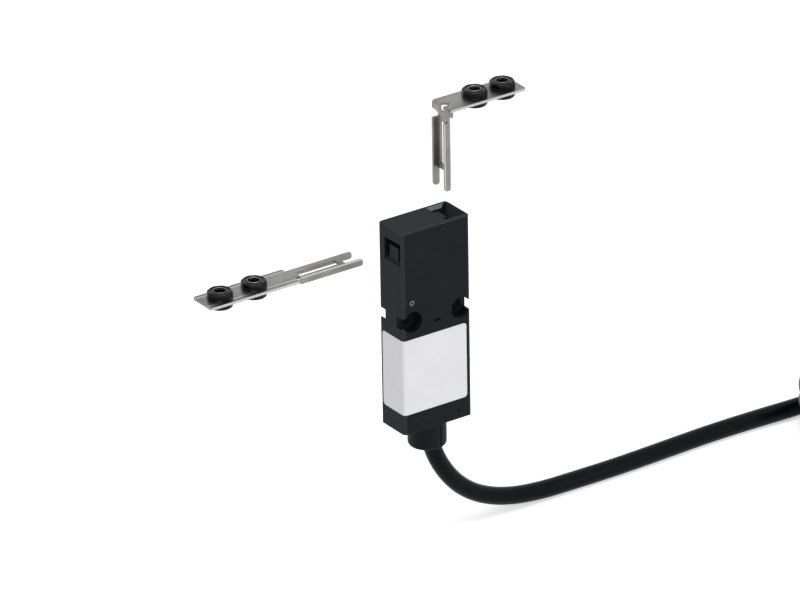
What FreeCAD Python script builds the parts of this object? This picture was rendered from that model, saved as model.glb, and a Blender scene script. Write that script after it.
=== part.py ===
"""Tongue interlock switch: a slim two-entry safety switch with a moulded cable and two loose tongues.

Frame: origin midway between the two mounting holes, on the back face that lies on the machine.
+X runs across the broad face, -Y points out of the broad face that carries the label, and +Z runs
up along the switch towards the head. All lengths are in millimetres.
"""
import FreeCAD, Part
import math
import os

Vector = FreeCAD.Vector

# ---- driving dimensions -------------------------------------------------------------------------

# Outer case
case_width = 30.0
case_depth = 15.0
head_top = 36.0               # top of the head above the mounting holes
case_bottom = -44.5           # foot of the body, below the mounting holes
corner_radius = 1.5           # upright edges of head and body
edge_radius = 0.5             # top edge of the head
body_wall = 1.9
head_wall = 1.55              # front wall of the head, where the fork runs past
part_gap = 0.05               # clearance all round between fixed mouldings

# Mounting holes, each a slot between a front and a back pocket
hole_pitch = 21.0
hole_width = 4.3
hole_length = 5.3
pocket_radius = 4.1
pocket_depth = 4.0

# Label
label_top = -6.7
label_height = 30.0
label_margin = 2.0            # bare strip left at the right edge of the broad face
label_back_margin = 1.6       # bare strip left at the back edge of the narrow face
label_recess = 0.3
label_thickness = 0.2
label_corner = 1.4

# Two small gate marks below the label
dimple_pitch = 18.2
dimple_rise = 3.2             # above the foot of the body

# Fork of both tongues, a channel of sheet steel
sheet = 1.0
fork_width = 8.2              # over both flanges
fork_height = 2.6             # over the web and a flange
fork_length = 26.8
web_setback = 7.0             # the flanges run on past the end of the web
web_strip = 2.0               # web left beside the back flange
web_lip = 0.8                 # web left beside the front flange
web_bridge = 2.0              # web left at the leading end of its slot
neck_width = 6.4
neck_gap = 1.4                # between the fork and the shoulders of the plate
plate_width = 12.0
fork_setback = 5.9            # middle plane of the slots, behind the front face

# Angled tongue
angled_plate = 33.1           # from the bend to the far end
angled_rise = 5.6             # fork to the top of the plate
angled_hole_pitch = 12.2
angled_hole_end = 6.4         # outer hole to the far end
angled_lead = 10.6            # height of the fork tips above the head at rest
relief_radius = 1.5           # hole that relieves the bend

# Straight tongue
straight_plate = 38.2
straight_hole_pitch = 14.5
straight_hole_end = 7.6
straight_lead = 15.5          # fork tips to the side of the head at rest

# Rubber grommets and the steel bushes in them
grommet_radius = 4.75
grommet_top = 2.7
grommet_foot_radius = 4.75
grommet_foot = 2.3
grommet_neck_radius = 3.3
bush_radius = 2.5
bush_bore = 2.15              # takes an M4 screw
bush_proud = 0.1

# Entries in the head
top_web_x = 8.35              # outer face of the angled tongue's web
side_web_drop = 5.6           # outer face of the straight tongue's web, below the head's top
entry_gap = 0.35              # fork to slot
lip_gap = 0.25                # inside of the web to the lip of the slot
funnel_depth = 4.0
funnel_reach = 6.0            # the top funnel runs this far beyond the slot
window_drop = 4.45            # side window's upper edge, below the head's top
window_height = 8.8
window_margin = 0.4           # the window is this much wider than the slot on each side
window_depth = 3.2
lip_setback = 0.8             # lip of the side entry behind the face
head_roof = 5.1
head_cover_thickness = 2.2
head_cover_wall = 1.9         # side walls beside the head cover
funnel_flare = 3.5            # the funnel widens by this much towards the back
funnel_back = 1.1             # wall left behind it

# Cam and its pin
cam_radius = 7.0
cam_thickness = 5.6
cam_turn = 40.0               # degrees
cam_pin_radius = 1.25
pin_clearance = 0.05
pin_seat = 1.0                # depth of the pin's seats in the walls
cam_boss_radius = 3.0
cam_notch_width = 2.2
cam_notch_depth = 1.5
cam_side_gap = 0.2

# Plunger, its guide and its seals
plunger_travel = 2.0
plunger_radius = 1.8
tip_radius = 1.5
track_gap = 0.15              # plunger tip to cam
bush_wall = 0.7
seal_height = 1.6
seal_wall = 0.75
guide_clearance = 0.06

# Spigot of the body inside the head, and the hollow pin through both
seam = 2.2                    # joint between head and body, above the mounting holes
spigot_height = 8.8
spigot_width = 25.0
spigot_relief = 0.4           # spigot's back face in front of the back pockets' floor
head_pin_x = -10.7
head_pin_z = 7.6
head_pin_radius = 1.0
head_pin_bore = 0.5

# Contacts
carrier_width = 10.0
carrier_depth = 7.0
carrier_top = -8.6
carrier_height = 24.0
window_open = 4.6             # height of each bridge's window
upper_window = -13.0          # middle of the upper window
lower_window = -25.0
bridge_length = 18.0
bridge_width = 3.2
bridge_thick = 0.6
tip_size = 0.9                # radius of the silver contact tips
tip_height = 0.45
contact_air = 0.1             # closed contacts, face to face
blade_thick = 0.5
blade_width = 2.4
tail_bottom = -37.5
rail_thick = 2.2
spring_wire = 0.5
return_coil = 2.6             # mean radius of the return spring
return_turns = 5
bridge_coil = 1.2
bridge_turns = 3
bridge_spring_wire = 0.3
cam_spring_turns = 1.5
body_cover_thickness = 2.0
cover_margin = 2.0            # wall left beside the body cover
wire_radius = 0.65

# Cable, its boss and its bush
cable_radius = 3.4
boss_radius = 7.2
boss_length = 10.4
boss_edge = 1.6
boss_groove_x = 1.2           # upright parting groove on its front
boss_groove = 0.5             # width and depth
bush_outer = 5.6
bush_mouth = 5.1
bush_throat = 3.6
bush_length = 9.4
cable_start = -44.0

# Route of the cable from inside the boss, down and along the bench, as chosen by hand
cable_route = [(0.0, -7.5, cable_start), (0.9, -7.5, -53.0), (3.9, -7.5, -61.9), (8.9, -7.5, -70.4),
               (15.5, -7.5, -77.6), (24.2, -7.5, -83.4), (35.8, -7.5, -87.6), (50.0, -7.5, -89.6),
               (66.0, -7.6, -89.9), (86.0, -8.0, -89.9), (108.0, -7.3, -89.9), (130.0, -6.5, -89.9),
               (152.0, -7.1, -89.9), (172.0, -8.2, -89.9), (192.0, -8.0, -89.9)]

# Tied hank of two turns, and the end of the cable that lies on its near run
hank_start = 185.0            # where its straight runs begin
hank_run = 95.0
hank_near = -8.0              # middle of the run that the cable enters
hank_fold = 24.0              # mean radius of its folds
hank_layer = 6.95             # one layer above the other
tail_route = [(188.0, -8.2, -75.6), (216.0, -7.9, -75.6), (244.0, -8.2, -75.6), (268.0, -8.0, -75.6)]
tie_x = 232.0
tie_thick = 0.5
tie_width = 6.0
tie_gap = 0.1
core_radius = 0.75
core_length = 16.0
strip_length = 6.0
strand_radius = 0.4
core_count = 4

# ---- values worked out from them -----------------------------------------------------------------

half_width = case_width / 2
front = -case_depth
mid_y = -case_depth / 2
tip_centre = cam_radius + track_gap + tip_radius      # plunger's tip centre to the cam axis
side_web_z = head_top - side_web_drop
cam_z = side_web_z - sheet - lip_gap - cam_side_gap - cam_radius
cam_x = top_web_x - sheet - lip_gap - cam_side_gap - cam_radius + 0.1
floor_z = cable_route[-1][2] - cable_radius
hank_low = floor_z + tie_thick + tie_gap + cable_radius     # middle of the lower layer
hank_far = hank_near - 2 * hank_fold
spigot_top = seam + spigot_height
spigot_front = front + pocket_depth
spigot_back = pocket_depth + spigot_relief
fork_offset_y = front + fork_setback
plunger_y = (spigot_front - spigot_back) / 2
seal_radius = plunger_radius + seal_wall
fork_half = fork_width / 2
slot_half = fork_half + entry_gap
cavity_half = half_width - body_wall


# ---- small builders ------------------------------------------------------------------------------

def box(x0, x1, y0, y1, z0, z1):
    """Block between two corners."""
    return Part.makeBox(x1 - x0, y1 - y0, z1 - z0, Vector(x0, y0, z0))


def rod(x, y, z, radius, length, axis="Z"):
    """Cylinder from a point along one positive axis."""
    way = {"X": Vector(1, 0, 0), "Y": Vector(0, 1, 0), "Z": Vector(0, 0, 1)}[axis]
    return Part.makeCylinder(radius, length, Vector(x, y, z), way)


def rounded_prism(inset, z0, z1):
    """Upright prism of the case's outline, moved inwards by an inset."""
    solid = box(-half_width + inset, half_width - inset, front + inset, -inset, z0, z1)
    upright = [e for e in solid.Edges if abs(e.tangentAt(e.FirstParameter).z) > 0.99]
    return solid.makeFillet(corner_radius - inset, upright)


def slotted(x, y0, y1, width, length):
    """Stadium along X, pushed through along Y, centred on height 0."""
    reach = (length - width) / 2
    shape = box(x - reach, x + reach, y0, y1, -width / 2, width / 2)
    for side in (-reach, reach):
        shape = shape.fuse(rod(x + side, y0, 0, width / 2, y1 - y0, "Y"))
    return shape.removeSplitter()


def prism_y(points, y0, y1):
    """Polygon in the XZ plane pushed along Y."""
    corners = [Vector(x, y0, z) for x, z in points]
    return Part.Face(Part.makePolygon(corners + corners[:1])).extrude(Vector(0, y1 - y0, 0))


def prism_x(points, x0, x1):
    """Polygon in the YZ plane pushed along X."""
    corners = [Vector(x0, y, z) for y, z in points]
    return Part.Face(Part.makePolygon(corners + corners[:1])).extrude(Vector(x1 - x0, 0, 0))


def prism_z(points, z0, z1):
    """Polygon in the XY plane pushed along Z."""
    corners = [Vector(x, y, z0) for x, y in points]
    return Part.Face(Part.makePolygon(corners + corners[:1])).extrude(Vector(0, 0, z1 - z0))


def tube_along(points, radius, name):
    """Round solid on straight runs joined by tangent arcs, each as large as its runs allow."""
    pts = [Vector(*p) for p in points]
    edges, start, length, radii = [], pts[0], 0.0, []
    for before, corner, after in zip(pts, pts[1:], pts[2:]):
        run_in, run_out = corner - before, after - corner
        turn = run_in.getAngle(run_out)
        reach = 0.45 * min(run_in.Length, run_out.Length)
        bend = reach / math.tan(turn / 2)
        u, v = Vector(run_in).normalize(), Vector(run_out).normalize()
        a, b = corner - u * reach, corner + v * reach
        middle = (v - u).normalize()
        centre = corner + middle * (bend / math.cos(turn / 2))
        edges.append(Part.LineSegment(start, a).toShape())
        edges.append(Part.Arc(a, centre - middle * bend, b).toShape())
        length += (a - start).Length + bend * turn
        radii.append(round(bend, 1))
        start = b
    edges.append(Part.LineSegment(start, pts[-1]).toShape())
    length += (pts[-1] - start).Length
    path = Part.Wire(edges)
    way = Vector(pts[1] - pts[0]).normalize()
    profile = Part.Wire([Part.makeCircle(radius, pts[0], way)])
    solid = path.makePipeShell([profile], True, False)
    ratio = solid.Volume / (math.pi * radius ** 2 * length)
    print(f"{name}: {length:.1f} mm long, radii {radii}, volume over section x length {ratio:.4f}")
    return solid


def coil_spring(x, y, z, mean_radius, wire, turns, height, axis="Z"):
    """Round-wire spring from a base point, as quarter turns joined end to end."""
    def place(share):
        angle = 2 * math.pi * turns * share
        return Vector(mean_radius * math.cos(angle), mean_radius * math.sin(angle), height * share)

    count = round(turns * 4)
    edges = []
    for i in range(count):
        edges.append(Part.Arc(place(i / count), place((i + 0.5) / count), place((i + 1) / count)).toShape())
    tangent = Vector(0, 2 * math.pi * mean_radius, height / turns)
    profile = Part.Wire([Part.makeCircle(wire / 2, place(0), tangent)])
    spring = Part.Wire(edges).makePipeShell([profile], True, True)
    if axis == "Y":
        spring.rotate(Vector(0, 0, 0), Vector(1, 0, 0), -90)
    spring.translate(Vector(x, y, z))
    return spring


def group(solids):
    """Separate solids that share one node."""
    return Part.makeCompound(solids)


# ---- case ----------------------------------------------------------------------------------------

def pocket_cuts(z_low, z_high):
    """Front and back pockets round both mounting holes, with their channels to the narrow sides."""
    cuts = []
    for side in (-1, 1):
        for y0, y1 in ((front - 1, front + pocket_depth), (-pocket_depth, 1)):
            x = side * hole_pitch / 2
            round_part = rod(x, y0, 0, pocket_radius, y1 - y0, "Y")
            channel = box(min(x, side * (half_width + 1)), max(x, side * (half_width + 1)),
                          y0, y1, -hole_width / 2, seam)
            limit = box(-half_width - 2, half_width + 2, y0, y1, z_low, z_high)
            cuts.append(round_part.fuse(channel).common(limit))
    return cuts


def label_region(shrink):
    """Space of the label round the front left edge, with rounded corners on both faces."""
    low = label_top - label_height + shrink
    high = label_top - shrink
    radius = label_corner - shrink
    right = half_width - label_margin - shrink
    face = box(-half_width - 1, right, front - 1, front + corner_radius, low, high)
    ends = [e for e in face.Edges
            if abs(e.tangentAt(e.FirstParameter).y) > 0.99 and e.CenterOfMass.x > 0]
    face = face.makeFillet(radius, ends)
    back = -label_back_margin - shrink
    side = box(-half_width - 1, -half_width + corner_radius, front - 1, back, low, high)
    ends = [e for e in side.Edges
            if abs(e.tangentAt(e.FirstParameter).x) > 0.99 and e.CenterOfMass.y > mid_y]
    return face.fuse(side.makeFillet(radius, ends))


def make_label():
    skin = rounded_prism(label_recess - label_thickness, label_top - label_height, label_top)
    skin = skin.cut(rounded_prism(label_recess, label_top - label_height, label_top))
    return skin.common(label_region(part_gap))


def make_body_case():
    """Lower shell: foot, walls, the web with the mounting holes, the spigot and the cable boss."""
    shell = rounded_prism(0, case_bottom, seam)
    spigot = box(-spigot_width / 2, spigot_width / 2, spigot_front, -spigot_back, seam - 1, spigot_top)
    lead_in = [e for e in spigot.Edges if e.CenterOfMass.z > spigot_top - 0.01]
    shell = shell.fuse(spigot.makeChamfer(0.5, lead_in))
    boss = rod(0, mid_y, case_bottom - boss_length, boss_radius, boss_length + 1)
    foot = [e for e in boss.Edges if e.CenterOfMass.z < case_bottom - boss_length + 0.01]
    boss = boss.makeFillet(boss_edge, foot)
    boss = boss.cut(box(boss_groove_x - boss_groove / 2, boss_groove_x + boss_groove / 2, front,
                        mid_y - boss_radius + boss_groove, case_bottom - boss_length - 1, case_bottom))
    shell = shell.fuse(boss)
    for cut in pocket_cuts(case_bottom, seam + 20):
        shell = shell.cut(cut)
    for side in (-1, 1):
        shell = shell.cut(slotted(side * hole_pitch / 2, front, 0, hole_width, hole_length))
    skin = rounded_prism(-1, label_top - label_height, label_top)
    skin = skin.cut(rounded_prism(label_recess, label_top - label_height - 1, label_top + 1))
    shell = shell.cut(skin.common(label_region(0)))
    shell = shell.cut(box(-cavity_half, cavity_half, front + body_wall, 0, cavity_bottom, cavity_top))
    seat = box(-cover_half, cover_half, -body_cover_thickness, 1, cover_low, cover_high)
    shell = shell.cut(seat)
    # passages of the plunger, its bush, the cable bush and the hollow pin
    shell = shell.cut(rod(0, plunger_y, cavity_top - 1, plunger_radius + 0.3, spigot_top - cavity_top + 2))
    shell = shell.cut(rod(0, plunger_y, seam, bush_seat_radius, spigot_height + 1))
    shell = shell.cut(rod(0, mid_y, case_bottom - boss_length - 1, bush_outer + part_gap,
                          bush_length + 1 + part_gap))
    shell = shell.cut(rod(0, mid_y, case_bottom - 2, bush_throat, 6))
    shell = shell.cut(rod(head_pin_x, front, head_pin_z, head_pin_radius + part_gap, case_depth, "Y"))
    # short recess below the seam, where a tool would release the head
    mark = box(-1.5, 1.5, front - 1, front + 0.8, -2.3, -1.4)
    shell = shell.cut(mark)
    for side in (-1, 1):
        shell = shell.cut(rod(side * dimple_pitch / 2, front - 1, case_bottom + dimple_rise, 0.5, 1.5, "Y"))
    return shell.removeSplitter()


def make_body_cover():
    """Plate that closes the back of the body."""
    plate = box(-cover_half + part_gap, cover_half - part_gap, -body_cover_thickness, 0,
                cover_low + part_gap, cover_high - part_gap)
    return plate


def fork_profile(gap):
    """Section of the fork's passage across its travel: (across the flanges, height) outline."""
    a, b = fork_half + gap, fork_half - sheet - gap
    top, lip, low = gap * 0.8, -(sheet + lip_gap), -(fork_height + gap)
    return [(-a, top), (a, top), (a, low), (b, low), (b, lip), (-b, lip), (-b, low), (-a, low)]


def make_head_case():
    """Upper shell with the two entries, open at the back for its cover."""
    shell = rounded_prism(0, seam, head_top)
    rim = [e for e in shell.Edges if e.CenterOfMass.z > head_top - 0.01]
    shell = shell.makeFillet(edge_radius, rim)
    for cut in pocket_cuts(seam - 1, seam + 20):
        shell = shell.cut(cut)
    # room for the spigot, then for cam and forks, then the cover's seat
    g = part_gap
    shell = shell.cut(box(-spigot_width / 2 - g, spigot_width / 2 + g, spigot_front - g,
                          -spigot_back + g, seam - 1, spigot_top + seal_room))
    shell = shell.cut(box(-head_cavity_half, head_cavity_half, front + head_wall, 0,
                          spigot_top + seal_room, head_top - head_roof))
    shell = shell.cut(box(-head_cover_half, head_cover_half, -head_cover_thickness, 1,
                          head_cover_low, head_cover_high))
    # top entry: slot, then a ramp that leads the fork in from the right
    slot = [(fork_offset_y + a, top_web_x + h) for a, h in fork_profile(entry_gap)]
    corners = [Vector(x, y, head_top - head_roof - 1) for y, x in slot]
    shell = shell.cut(Part.Face(Part.makePolygon(corners + corners[:1])).extrude(Vector(0, 0, head_roof + 3)))
    ramp_y0, ramp_y1 = fork_offset_y - slot_half, fork_offset_y + slot_half
    lip_x = top_web_x - sheet - lip_gap
    slot_x = top_web_x + entry_gap * 0.8
    ramp = prism_y([(lip_x, head_top + 1), (ramp_top_x, head_top + 1), (ramp_top_x, head_top),
                    (slot_x, head_top - funnel_depth), (lip_x, head_top - funnel_depth)], ramp_y0, 0)
    plan = [(lip_x, ramp_y0), (ramp_top_x, ramp_y0), (ramp_top_x, -funnel_back),
            (ramp_top_x - 1, -funnel_back), (ramp_top_x - 1 - funnel_flare, ramp_y1), (lip_x, ramp_y1)]
    shell = shell.cut(ramp.common(prism_z(plan, head_top - funnel_depth - 1, head_top + 1)))
    # side entry: tapered window, the lip that stands between the flanges, then the slot
    outer = window_outline(0, fork_offset_y, slot_half + window_margin, window_high, window_low)
    inner = window_outline(window_depth, fork_offset_y, slot_half,
                           side_web_z + entry_gap * 0.8, side_web_z - fork_height - entry_gap)
    shell = shell.cut(Part.makeLoft([outer, inner], True))
    lip_half = fork_half - sheet - entry_gap
    lip = box(-half_width + lip_setback, -half_width + window_depth + 0.5,
              fork_offset_y - lip_half, fork_offset_y + lip_half,
              window_low + 1.2, side_web_z - sheet - lip_gap)
    shell = shell.fuse(lip)
    passage = [(fork_offset_y + a, side_web_z + h) for a, h in fork_profile(entry_gap)]
    shell = shell.cut(prism_x(passage, -half_width - 1, -head_cavity_half + 1))
    # boss that spaces the cam, and the seats of both pins
    boss = rod(cam_x, front + head_wall - 0.2, cam_z, cam_boss_radius,
               cam_front - cam_side_gap - front - head_wall + 0.2, "Y")
    shell = shell.fuse(boss)
    shell = shell.cut(rod(cam_x, front + head_wall - pin_seat, cam_z, cam_pin_radius + 0.01, case_depth, "Y"))
    shell = shell.cut(rod(head_pin_x, front - 1, head_pin_z, head_pin_radius + 0.01, case_depth + 1, "Y"))
    return shell.removeSplitter()


def window_outline(depth, middle, half, high, low):
    """Rectangle of the side window at a depth behind the narrow face."""
    x = -half_width - 0.01 + depth
    corners = [Vector(x, middle - half, low), Vector(x, middle + half, low),
               Vector(x, middle + half, high), Vector(x, middle - half, high)]
    return Part.makePolygon(corners + corners[:1])


def make_head_cover():
    """Back plate of the head, with the boss that carries the cam pin."""
    g = part_gap
    plate = box(-head_cover_half + g, head_cover_half - g, -head_cover_thickness, 0,
                head_cover_low + g, head_cover_high - g)
    boss = rod(cam_x, cam_back + cam_side_gap, cam_z, cam_boss_radius,
               -head_cover_thickness - cam_back - cam_side_gap + 0.2, "Y")
    plate = plate.fuse(boss)
    plate = plate.cut(rod(cam_x, front, cam_z, cam_pin_radius + 0.01,
                          case_depth - head_cover_thickness + pin_seat, "Y"))
    return plate.removeSplitter()


def make_head_pin():
    """Hollow pin that locks the head on the spigot."""
    pin = rod(head_pin_x, front + 0.1, head_pin_z, head_pin_radius, case_depth - 0.2, "Y")
    return pin.cut(rod(head_pin_x, front - 1, head_pin_z, head_pin_bore, case_depth + 2, "Y"))


# ---- cam train -----------------------------------------------------------------------------------

def make_cam():
    """Disc with a falling track for the plunger and two notches where the webs bear."""
    disc = rod(cam_x, cam_front, cam_z, cam_radius, cam_thickness, "Y")
    disc = disc.cut(rod(cam_x, cam_front - 1, cam_z, cam_pin_radius + pin_clearance, cam_thickness + 2, "Y"))
    # The tip's path, seen from the cam, closes in by the travel while the cam turns.
    steps = 16
    track = []
    for i in range(steps + 1):
        share = i / steps
        angle = math.radians(-90 + cam_turn * share)
        reach = tip_centre - plunger_travel * share
        closing = -plunger_travel / math.radians(cam_turn)
        # outward normal of the path r(angle), turned towards the cam axis
        nx = reach * math.cos(angle) + closing * math.sin(angle)
        nz = reach * math.sin(angle) - closing * math.cos(angle)
        size = math.hypot(nx, nz)
        offset = tip_radius + track_gap
        track.append((reach * math.cos(angle) - nx / size * offset,
                      reach * math.sin(angle) - nz / size * offset))
    base = cam_radius - plunger_travel
    end = math.radians(-90 + cam_turn + 22)
    outside = cam_radius + 2
    rest = [(base * math.cos(end), base * math.sin(end)), (outside * math.cos(end), outside * math.sin(end)),
            (outside * math.cos(math.radians(-62)), outside * math.sin(math.radians(-62))),
            (track[0][0], -outside)]
    outline = [(cam_x + x, cam_z + z) for x, z in track + rest]
    disc = disc.cut(prism_y(outline, cam_front - 1, cam_back + 1))
    half = cam_notch_width / 2
    floor, rim = cam_radius - cam_notch_depth, cam_radius + 1
    top = box(cam_x - half, cam_x + half, cam_front - 1, cam_back + 1, cam_z + floor, cam_z + rim)
    side = box(cam_x + floor, cam_x + rim, cam_front - 1, cam_back + 1, cam_z - half, cam_z + half)
    return disc.cut(top).cut(side)


def make_cam_pin():
    length = -head_cover_thickness + pin_seat - (front + head_wall - pin_seat) - 0.1
    return rod(cam_x, front + head_wall - pin_seat + 0.05, cam_z, cam_pin_radius, length, "Y")


def make_cam_spring():
    """Torsion spring round the cover's boss."""
    room = -head_cover_thickness - (cam_back + cam_side_gap)
    height = room - spring_wire - 0.6
    return coil_spring(cam_x, cam_back + cam_side_gap + spring_wire / 2 + 0.2, cam_z,
                       cam_boss_radius + spring_wire / 2 + 0.1, spring_wire, cam_spring_turns, height, "Y")


def make_plunger():
    """Steel rod with a round nose under the cam and a foot in the contact carrier."""
    nose_z = cam_z - tip_centre
    stem = rod(0, plunger_y, carrier_top, plunger_radius, nose_z - carrier_top - 1.5)
    nose = rod(0, plunger_y, carrier_top, tip_radius, nose_z - carrier_top)
    ball = Part.makeSphere(tip_radius, Vector(0, plunger_y, nose_z))
    return stem.fuse(nose).fuse(ball).removeSplitter()


def make_plunger_bush():
    outer = rod(0, plunger_y, seam + part_gap, bush_seat_radius - part_gap, spigot_height - part_gap)
    return outer.cut(rod(0, plunger_y, seam - 1, plunger_radius + guide_clearance, spigot_height + 2))


def make_plunger_seal():
    """Rubber lip ring on the spigot round the plunger."""
    ring = rod(0, plunger_y, spigot_top, seal_radius, seal_height)
    edge = [e for e in ring.Edges if e.CenterOfMass.z > spigot_top + seal_height - 0.01]
    ring = ring.makeChamfer(0.6, edge)
    return ring.cut(rod(0, plunger_y, spigot_top - 1, plunger_radius + guide_clearance, seal_height + 2))


# ---- contacts ------------------------------------------------------------------------------------

def make_carrier():
    """Plastic block under the plunger, with a window for each bridge and a bore for its spring."""
    low = carrier_top - carrier_height
    block = box(-carrier_width / 2, carrier_width / 2, plunger_y - carrier_depth / 2,
                plunger_y + carrier_depth / 2, low, carrier_top)
    for middle in (upper_window, lower_window):
        block = block.cut(box(-carrier_width, carrier_width, plunger_y - bridge_width / 2 - 0.2,
                              plunger_y + bridge_width / 2 + 0.2,
                              middle - window_open / 2, middle + window_open / 2))
    return block.cut(rod(0, plunger_y, low - 1, return_coil + spring_wire, return_pocket + 1))


def bridge_level(middle, side):
    """Underside of a bridge that bears on the top or the bottom of its window."""
    if side > 0:
        return middle + window_open / 2 - bridge_thick
    return middle - window_open / 2


def make_bridges():
    strips = []
    for middle, side in ((upper_window, 1), (lower_window, -1)):
        z = bridge_level(middle, side)
        strips.append(box(-bridge_length / 2, bridge_length / 2, plunger_y - bridge_width / 2,
                          plunger_y + bridge_width / 2, z, z + bridge_thick))
    return strips


def tip_x():
    """Distance of the contact tips from the middle."""
    return bridge_length / 2 - tip_size - 0.4


def make_bridge_tips():
    tips = []
    for side in (-1, 1):
        top = bridge_level(upper_window, 1) + bridge_thick
        tips.append(rod(side * tip_x(), plunger_y, top, tip_size, tip_height))
        foot = bridge_level(lower_window, -1)
        tips.append(rod(side * tip_x(), plunger_y, foot - tip_height, tip_size, tip_height))
    return group(tips)


def make_bridge_springs():
    """Spring that presses each bridge against one side of its window."""
    springs = []
    room = window_open - bridge_thick - bridge_spring_wire - 0.1
    upper = upper_window - window_open / 2 + bridge_spring_wire / 2 + 0.05
    lower = bridge_level(lower_window, -1) + bridge_thick + bridge_spring_wire / 2 + 0.05
    for z in (upper, lower):
        springs.append(coil_spring(0, plunger_y, z, bridge_coil, bridge_spring_wire, bridge_turns, room))
    return group(springs)


def fixed_levels():
    """Height of the tip faces of the fixed contacts, upper pair and lower pair."""
    upper = bridge_level(upper_window, 1) + bridge_thick + tip_height + plunger_travel + contact_air
    lower = bridge_level(lower_window, -1) - tip_height - contact_air
    return upper, lower


def make_blade(side, pair):
    """Brass blade: an arm that carries the tip, and a tail down the rail to the wires."""
    upper, lower = fixed_levels()
    if pair == "upper":
        z0 = upper + tip_height
        y_tail = plunger_y - bridge_width / 2 - blade_width - 0.4
        y0, y1 = y_tail, plunger_y + bridge_width / 2
    else:
        z0 = lower - tip_height - blade_thick
        y_tail = plunger_y + bridge_width / 2 + 0.4
        y0, y1 = plunger_y - bridge_width / 2, y_tail + blade_width
    x0, x1 = tip_x() - tip_size - 0.3, rail_x
    arm = box(x0, x1, y0, y1, z0, z0 + blade_thick)
    tail = box(x1 - blade_thick, x1, y_tail, y_tail + blade_width, tail_bottom, z0 + blade_thick)
    blade = arm.fuse(tail).removeSplitter()
    return blade if side > 0 else blade.mirror(Vector(0, 0, 0), Vector(1, 0, 0))


def make_fixed_tips():
    upper, lower = fixed_levels()
    tips = []
    for side in (-1, 1):
        tips.append(rod(side * tip_x(), plunger_y, upper, tip_size, tip_height))
        tips.append(rod(side * tip_x(), plunger_y, lower - tip_height, tip_size, tip_height))
    return group(tips)


def make_contact_block():
    """Plastic frame: a rail on each side that carries the blades, joined below by a spring seat."""
    y0, y1 = front + body_wall + part_gap, -body_cover_thickness - part_gap
    seat_top = spring_seat
    solid = box(-cavity_half + part_gap, cavity_half - part_gap, y0, y1, seat_top - 1.5, seat_top)
    for side in (-1, 1):
        x0, x1 = sorted((side * rail_x, side * (cavity_half - part_gap)))
        solid = solid.fuse(box(x0, x1, y0, y1, seat_top - 0.5, cavity_top - 0.6))
        # the tails pass the seat through open notches
        x0, x1 = sorted((side * (rail_x - blade_thick - 0.1), side * rail_x))
        solid = solid.cut(box(x0, x1, y0 - 1, y1 + 1, seat_top - 2, seat_top + 0.001))
    return solid.removeSplitter()


def make_return_spring():
    z = spring_seat + spring_wire / 2 + 0.02
    height = carrier_top - carrier_height + return_pocket - spring_seat - spring_wire - 0.04
    return coil_spring(0, plunger_y, z, return_coil, spring_wire, return_turns, height)


def make_wires():
    """Four insulated wires from the tails to the mouth of the cable."""
    wires = []
    for i, (side, pair) in enumerate(((-1, "upper"), (1, "upper"), (-1, "lower"), (1, "lower"))):
        y = plunger_y + (-1 if pair == "upper" else 1) * (bridge_width / 2 + 0.4 + blade_width / 2)
        x = side * (rail_x - blade_thick - wire_radius - 0.02)
        end_x = side * wire_radius * 1.15
        end_y = mid_y + (-1 if pair == "upper" else 1) * wire_radius * 1.15
        wires.append(tube_along([(x, y, tail_bottom + 0.2), (x, y, tail_bottom - 1.9),
                                 (end_x + side * 1.6, end_y * 0.75 + y * 0.25, cavity_bottom + 0.9),
                                 (end_x, end_y, cable_start + 0.6)], wire_radius, f"wire {i + 1}"))
    return group(wires)


# ---- cable ---------------------------------------------------------------------------------------

def make_cable_bush():
    """Rubber bush in the boss, flared at its mouth so that the cable can bend."""
    low = case_bottom - boss_length
    bush = rod(0, mid_y, low, bush_outer, bush_length)
    bore = Part.makeCone(bush_mouth, bush_throat, bush_length + 0.002, Vector(0, mid_y, low - 0.001))
    return bush.cut(bore)


def hank_section(x):
    """Upright stadium round both layers of the near run."""
    r, top = cable_radius, hank_low + hank_layer
    left = Part.LineSegment(Vector(x, hank_near - r, hank_low), Vector(x, hank_near - r, top))
    over = Part.Arc(Vector(x, hank_near - r, top), Vector(x, hank_near, top + r),
                    Vector(x, hank_near + r, top))
    right = Part.LineSegment(Vector(x, hank_near + r, top), Vector(x, hank_near + r, hank_low))
    under = Part.Arc(Vector(x, hank_near + r, hank_low), Vector(x, hank_near, hank_low - r),
                     Vector(x, hank_near - r, hank_low))
    return Part.Face(Part.Wire([edge.toShape() for edge in (left, over, right, under)]))


def make_cable_coil():
    """The hank's two turns as one closed loop of their outer shape."""
    end = hank_start + hank_run
    near_run = hank_section(hank_start).extrude(Vector(hank_run, 0, 0))
    far_run = near_run.copy()
    far_run.translate(Vector(0, hank_far - hank_near, 0))
    middle = hank_near - hank_fold
    folds = [hank_section(end).revolve(Vector(end, middle, 0), Vector(0, 0, 1), -180),
             hank_section(hank_start).revolve(Vector(hank_start, middle, 0), Vector(0, 0, 1), 180)]
    return near_run.fuse([far_run] + folds).removeSplitter()


def make_coil_tie():
    """Strap drawn round both runs and the tail on them."""
    x = tie_x - tie_width / 2
    corners = [Vector(x, hank_far, hank_low), Vector(x, hank_near, hank_low),
               Vector(x, hank_near, tail_route[0][2]), Vector(x, hank_far, hank_low + hank_layer)]
    core = Part.makePolygon(corners + corners[:1])
    inner = core.makeOffset2D(cable_radius + tie_gap)
    outer = core.makeOffset2D(cable_radius + tie_gap + tie_thick)
    loop = Part.Face(Part.Wire(outer.Edges)).cut(Part.Face(Part.Wire(inner.Edges)))
    return loop.extrude(Vector(tie_width, 0, 0))


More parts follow.
